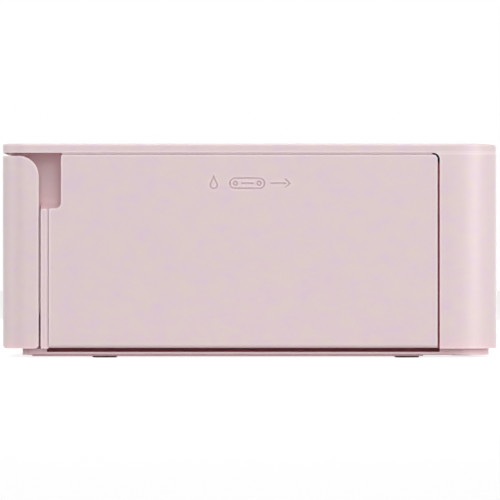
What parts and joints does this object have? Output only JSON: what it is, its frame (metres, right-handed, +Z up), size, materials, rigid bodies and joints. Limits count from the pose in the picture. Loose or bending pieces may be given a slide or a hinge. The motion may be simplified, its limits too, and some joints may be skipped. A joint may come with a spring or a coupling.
{
  "type": "compact photo printer",
  "caption": "Compact dye-sublimation photo printer with a bottom-hinged ink cassette door on its side, a folding front paper cover, a top screen and keys, and a geared print engine.",
  "frame": {"origin": "centre of the footprint, on the surface that the printer stands on", "axes": "+X to the ink door side, +Y to the rear, +Z up; the paper cover is at -Y"},
  "size_m": [0.1822, 0.133, 0.0576],
  "materials": {
    "shell_pink": "fine satin-matte moulded plastic",
    "foot_rubber": "matt",
    "bay_plastic": "fine texture",
    "steel": "satin",
    "screen_glass": "gloss",
    "lcd_metal": "satin",
    "circuit_board": "solder mask",
    "key_plastic": "fine satin-matte moulded plastic",
    "heatsink_aluminium": "extruded",
    "head_ceramic": "glazed",
    "roller_rubber": "ground",
    "roller_grey": "ground",
    "bush_brass": "turned",
    "gear_plastic": "moulded acetal",
    "motor_steel": "satin",
    "cassette_plastic": "fine texture",
    "ribbon_film": "film",
    "ribbon_used": "film",
    "lever_plastic": "satin",
    "socket_plastic": "satin",
    "cable_film": "film",
    "screw_steel": "zinc plated"
  },
  "bodies": {
    "chassis": {"base_tray": "shell_pink", "rubber_feet": "foot_rubber", "main_housing": "shell_pink", "top_cover": "shell_pink", "ink_bay_frame": "bay_plastic", "flap_hinge_pins": "steel", "screen_window": "screen_glass", "lcd_module": "lcd_metal", "control_board": "circuit_board", "left_side_frame": "steel", "right_side_frame": "steel", "head_pivot_shaft": "steel", "roller_bushes": "bush_brass", "gear_plate": "steel", "main_motor": "motor_steel", "ink_cassette_shell": "cassette_plastic", "ink_ribbon": "ribbon_film", "paper_bay": "bay_plastic", "rear_paper_guide": "bay_plastic", "main_board": "circuit_board", "dc_jack": "socket_plastic", "usb_c_port": "steel", "port_board": "circuit_board", "usb_a_port": "steel", "card_slot": "steel", "display_cable": "cable_film", "case_screws": "screw_steel", "frame_screws": "screw_steel"},
    "ink_door": {"ink_door": "shell_pink", "door_hinge_pins": "steel"},
    "paper_cover": {"paper_cover": "shell_pink"},
    "head": {"head_arm": "steel", "head_heatsink": "heatsink_aluminium", "thermal_head": "head_ceramic"},
    "platen": {"platen_shaft": "steel", "platen_rubber": "roller_rubber"},
    "capstan": {"capstan_roller": "steel", "capstan_gear": "gear_plastic"},
    "pinch": {"pinch_roller": "roller_grey"},
    "pickup": {"pickup_shaft": "steel", "pickup_tyres": "roller_rubber", "pickup_gear": "gear_plastic"},
    "reduction": {"reduction_gear": "gear_plastic"},
    "pinion": {"motor_pinion": "bush_brass"},
    "idler": {"feed_idler_gear": "gear_plastic"},
    "takeup": {"takeup_gear": "gear_plastic", "takeup_spool": "gear_plastic", "takeup_roll": "ribbon_used"},
    "supply": {"supply_spool": "gear_plastic", "supply_roll": "ribbon_film"},
    "eject_lever": {"eject_lever": "lever_plastic"},
    "power_button": {"power_button": "key_plastic"},
    "back_button": {"back_button": "key_plastic"},
    "menu_button": {"menu_button": "key_plastic"},
    "print_button": {"print_button": "key_plastic"},
    "ok_button": {"ok_button": "key_plastic"},
    "up_key": {"up_key": "key_plastic"},
    "down_key": {"down_key": "key_plastic"},
    "left_key": {"left_key": "key_plastic"},
    "right_key": {"right_key": "key_plastic"}
  },
  "joints": [
    {"name": "ink_door_hinge", "type": "hinge", "parent": "chassis", "child": "ink_door", "pos_m": [0.0886, 0, 0.0048], "axis": [0, 1, 0], "range_deg": [0, 90]},
    {"name": "paper_cover_hinge", "type": "hinge", "parent": "chassis", "child": "paper_cover", "pos_m": [0, -0.063, 0.004], "axis": [1, 0, 0], "range_deg": [0, 90]},
    {"name": "head_lift", "type": "hinge", "parent": "chassis", "child": "head", "pos_m": [0, 0.054, 0.046], "axis": [-1, 0, 0], "range_deg": [0, 2.5]},
    {"name": "capstan_spin", "type": "hinge", "parent": "chassis", "child": "capstan", "pos_m": [0, 0.028, 0.02035], "axis": [1, 0, 0], "continuous": true},
    {"name": "platen_spin", "type": "hinge", "parent": "chassis", "child": "platen", "pos_m": [0, 0.018, 0.018], "axis": [1, 0, 0], "continuous": true},
    {"name": "pinch_spin", "type": "hinge", "parent": "chassis", "child": "pinch", "pos_m": [0, 0.028, 0.02615], "axis": [1, 0, 0], "continuous": true},
    {"name": "pickup_spin", "type": "hinge", "parent": "chassis", "child": "pickup", "pos_m": [0, -0.018, 0.028], "axis": [1, 0, 0], "continuous": true},
    {"name": "reduction_spin", "type": "hinge", "parent": "chassis", "child": "reduction", "pos_m": [0, 0.01542, 0.02035], "axis": [1, 0, 0], "continuous": true},
    {"name": "pinion_spin", "type": "hinge", "parent": "chassis", "child": "pinion", "pos_m": [0, 0.00125, 0.01519], "axis": [1, 0, 0], "continuous": true},
    {"name": "idler_spin", "type": "hinge", "parent": "chassis", "child": "idler", "pos_m": [0, 0.00196, 0.01856], "axis": [1, 0, 0], "continuous": true},
    {"name": "takeup_spin", "type": "hinge", "parent": "chassis", "child": "takeup", "pos_m": [0, 0.038, 0.03718], "axis": [1, 0, 0], "continuous": true},
    {"name": "supply_spin", "type": "hinge", "parent": "chassis", "child": "supply", "pos_m": [0, -0.002, 0.03718], "axis": [1, 0, 0], "continuous": true},
    {"name": "eject_lever_slide", "type": "slide", "parent": "chassis", "child": "eject_lever", "axis": [0, 0, 1], "range_m": [0, 0.004], "stiffness_N_per_m": 60},
    {"name": "power_button_press", "type": "slide", "parent": "chassis", "child": "power_button", "axis": [0, 0, -1], "range_m": [0, 0.0005], "stiffness_N_per_m": 300},
    {"name": "back_button_press", "type": "slide", "parent": "chassis", "child": "back_button", "axis": [0, 0, -1], "range_m": [0, 0.0005], "stiffness_N_per_m": 300},
    {"name": "menu_button_press", "type": "slide", "parent": "chassis", "child": "menu_button", "axis": [0, 0, -1], "range_m": [0, 0.0005], "stiffness_N_per_m": 300},
    {"name": "print_button_press", "type": "slide", "parent": "chassis", "child": "print_button", "axis": [0, 0, -1], "range_m": [0, 0.0005], "stiffness_N_per_m": 300},
    {"name": "ok_button_press", "type": "slide", "parent": "chassis", "child": "ok_button", "axis": [0, 0, -1], "range_m": [0, 0.0005], "stiffness_N_per_m": 300},
    {"name": "up_key_press", "type": "slide", "parent": "chassis", "child": "up_key", "axis": [0, 0, -1], "range_m": [0, 0.0005], "stiffness_N_per_m": 300},
    {"name": "down_key_press", "type": "slide", "parent": "chassis", "child": "down_key", "axis": [0, 0, -1], "range_m": [0, 0.0005], "stiffness_N_per_m": 300},
    {"name": "left_key_press", "type": "slide", "parent": "chassis", "child": "left_key", "axis": [0, 0, -1], "range_m": [0, 0.0005], "stiffness_N_per_m": 300},
    {"name": "right_key_press", "type": "slide", "parent": "chassis", "child": "right_key", "axis": [0, 0, -1], "range_m": [0, 0.0005], "stiffness_N_per_m": 300}
  ],
  "couplings": [
    {"joint": "reduction_spin", "follows": "capstan_spin", "ratio": -2.5714},
    {"joint": "pinion_spin", "follows": "capstan_spin", "ratio": 10.286},
    {"joint": "idler_spin", "follows": "capstan_spin", "ratio": 0.9},
    {"joint": "pickup_spin", "follows": "capstan_spin", "ratio": -0.75},
    {"joint": "takeup_spin", "follows": "capstan_spin", "ratio": -0.85714},
    {"joint": "supply_spin", "follows": "capstan_spin", "ratio": 0.56122},
    {"joint": "pinch_spin", "follows": "capstan_spin", "ratio": -1.75},
    {"joint": "platen_spin", "follows": "capstan_spin", "ratio": 0.58333}
  ]
}
